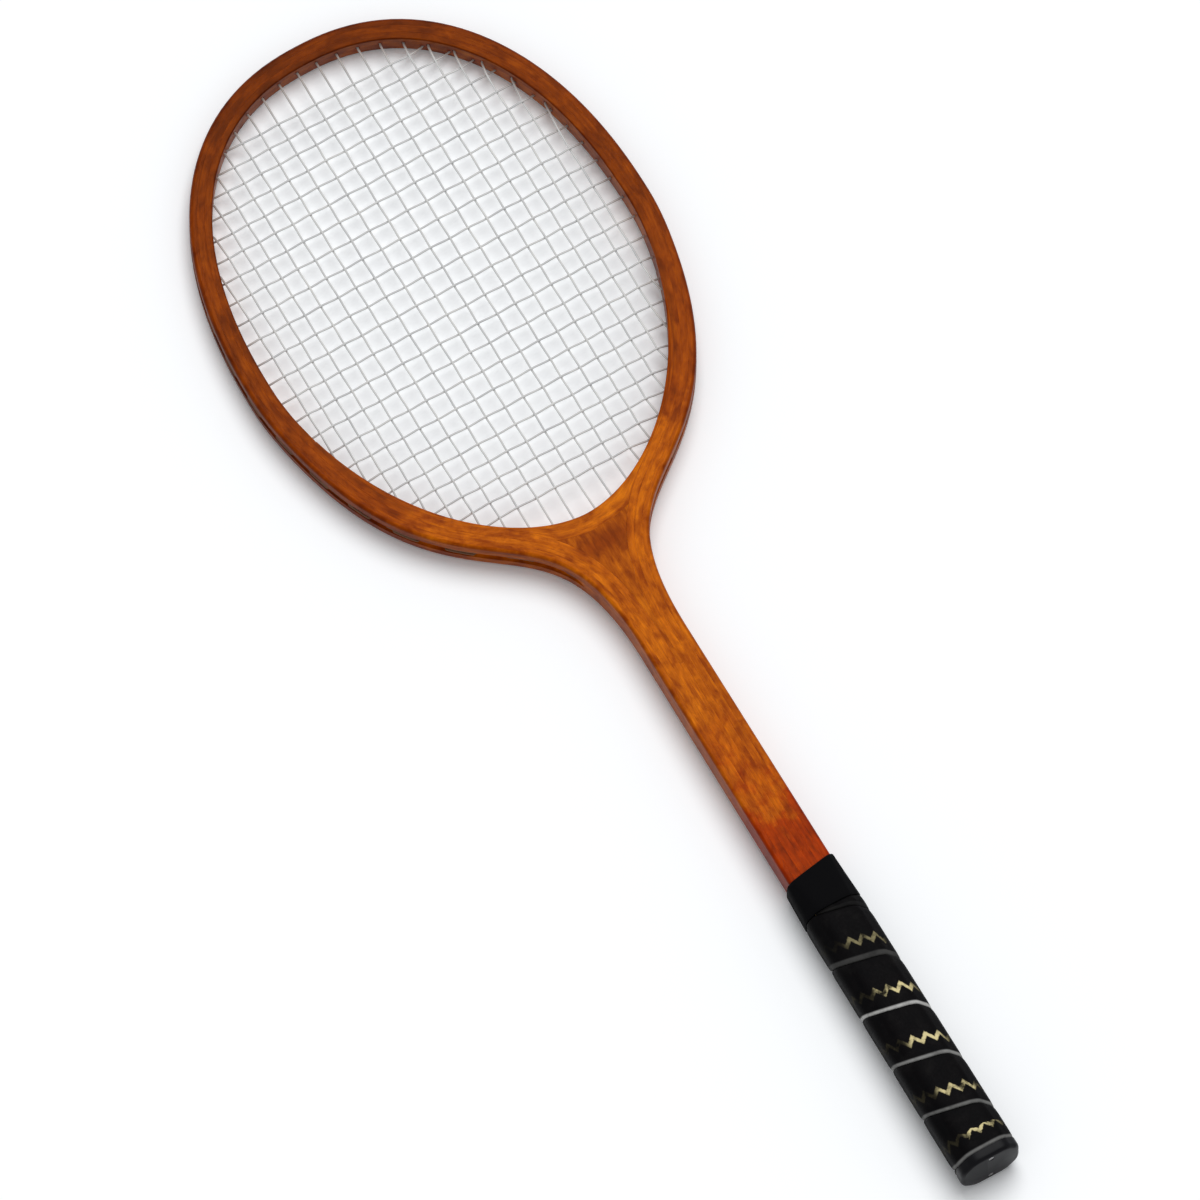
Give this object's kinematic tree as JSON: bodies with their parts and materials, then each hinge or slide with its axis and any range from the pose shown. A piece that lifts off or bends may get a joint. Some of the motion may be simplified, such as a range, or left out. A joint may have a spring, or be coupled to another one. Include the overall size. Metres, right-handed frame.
{
  "type": "wooden tennis racket",
  "caption": "Laminated wooden tennis racket with an oval head, a woven string bed, an open-shouldered throat, a slim shaft and a wound black grip.",
  "frame": {"origin": "middle of the butt cap's flat end face, on the axis of the handle and in the plane of the string bed", "axes": "+Y runs along the handle to the crown of the head, +Z is the front face, square to the string bed, and +X is to the right when the front is seen with the head up"},
  "size_m": [0.226, 0.6858, 0.0292],
  "materials": {
    "ash": "varnished orange-brown ash with grain along the bow",
    "light_ash": "varnished lighter ash",
    "walnut": "varnished dark wood",
    "limewood": "raw light wood, hidden under the grip",
    "string": "grey synthetic string",
    "leather": "black leather with a gold zigzag line",
    "tape": "matte black tape",
    "cap": "black plastic",
    "steel": "plain steel"
  },
  "bodies": {
    "root": {"outer_bow_ply": "ash", "middle_bow_ply": "ash", "inner_bow_ply": "light_ash", "throat_arch": "light_ash", "throat_wedge": "walnut", "shaft_core": "ash", "front_pallet": "limewood", "back_pallet": "limewood", "left_pallet": "limewood", "right_pallet": "limewood", "butt_cap": "cap", "front_butt_nail": "steel", "back_butt_nail": "steel", "grip_strip": "leather", "grip_collar": "tape", "grip_end_tack": "steel", "main_string": "string", "cross_string": "string"}
  },
  "joints": []
}
